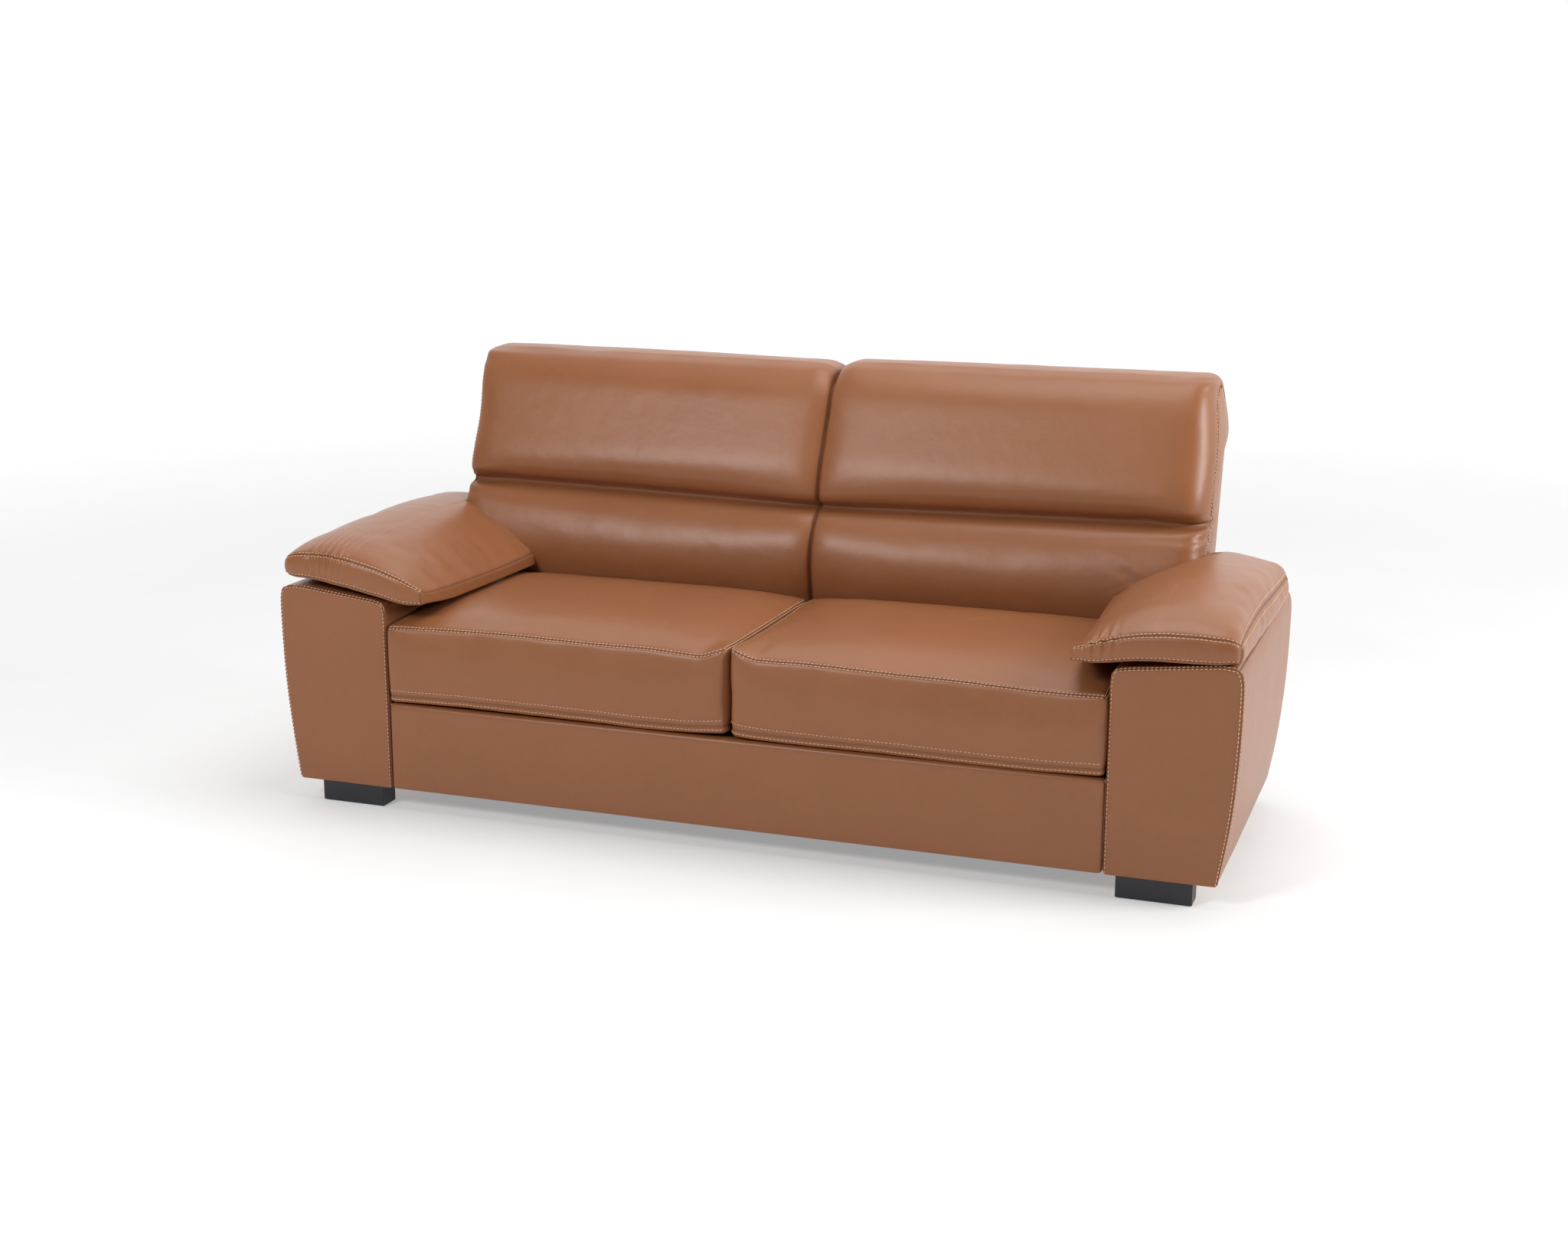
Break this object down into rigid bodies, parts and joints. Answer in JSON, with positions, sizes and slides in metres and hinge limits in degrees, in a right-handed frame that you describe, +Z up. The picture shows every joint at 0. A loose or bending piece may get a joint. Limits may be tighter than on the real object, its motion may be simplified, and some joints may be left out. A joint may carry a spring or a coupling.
{
  "type": "sofa",
  "caption": "Low upholstered sofa in cognac imitation leather with pillow arms, split back with lumbar roll, loose seat cushions and black block feet.",
  "frame": {"origin": "on the floor under the middle of the sofa's box", "axes": "+X along the seat to the right as seen from the front, +Z up, and the front faces -Y"},
  "size_m": [2.03, 0.854, 0.93],
  "materials": {
    "cognac_leather": "satin",
    "foam": "matte",
    "felt": "matte",
    "zinc_steel": "satin",
    "black_lacquered_wood": "satin",
    "spring_steel": "satin",
    "nonwoven_cloth": "matte",
    "webbing": "matte",
    "hardboard": "matte",
    "plywood": "matte",
    "pine": "matte"
  },
  "bodies": {
    "sofa_frame": {"arm_bolt_washers": "zinc_steel", "arm_bolts": "zinc_steel", "arm_bottom_board_left": "plywood", "arm_bottom_board_right": "plywood", "arm_cover_left": "cognac_leather", "arm_cover_right": "cognac_leather", "arm_front_panel_left": "plywood", "arm_front_panel_right": "plywood", "arm_inner_board_left": "plywood", "arm_inner_board_right": "plywood", "arm_outer_skin_left": "hardboard", "arm_outer_skin_right": "hardboard", "arm_pad_cover_left": "cognac_leather", "arm_pad_cover_right": "cognac_leather", "arm_pad_foam_left": "foam", "arm_pad_foam_right": "foam", "arm_rear_panel_left": "plywood", "arm_rear_panel_right": "plywood", "arm_top_board_left": "plywood", "arm_top_board_right": "plywood", "back_bolts": "zinc_steel", "back_centre_upright": "pine", "back_cushion_cover_left": "cognac_leather", "back_cushion_cover_right": "cognac_leather", "back_cushion_foam_left": "foam", "back_cushion_foam_right": "foam", "back_lower_rail": "pine", "back_outer_cover": "cognac_leather", "back_top_rail": "pine", "back_upright_left": "pine", "back_upright_right": "pine", "back_webbing": "webbing", "back_wing_post_left": "pine", "back_wing_post_right": "pine", "back_wing_rail_left": "pine", "back_wing_rail_right": "pine", "base_centre_rail": "pine", "base_corner_blocks": "pine", "base_front_rail": "pine", "base_rear_rail": "pine", "base_side_rail_left": "pine", "base_side_rail_right": "pine", "dust_cover": "nonwoven_cloth", "foot_bolts": "zinc_steel", "foot_front_left": "black_lacquered_wood", "foot_front_right": "black_lacquered_wood", "foot_glides": "felt", "foot_rear_left": "black_lacquered_wood", "foot_rear_right": "black_lacquered_wood", "front_rail_cover": "cognac_leather", "front_rail_foam": "foam", "seat_deck": "nonwoven_cloth", "seat_springs": "spring_steel", "spring_clips": "spring_steel", "tee_nuts": "zinc_steel"},
    "seat_cushion_left": {"seat_cover_left": "cognac_leather", "seat_foam_left": "foam"},
    "seat_cushion_right": {"seat_cover_right": "cognac_leather", "seat_foam_right": "foam"}
  },
  "joints": [
    {"name": "seat_cushion_left_slide", "type": "slide", "parent": "sofa_frame", "child": "seat_cushion_left", "axis": [0, -1, 0], "range_m": [0, 0.25]},
    {"name": "seat_cushion_right_slide", "type": "slide", "parent": "sofa_frame", "child": "seat_cushion_right", "axis": [0, -1, 0], "range_m": [0, 0.25]}
  ]
}
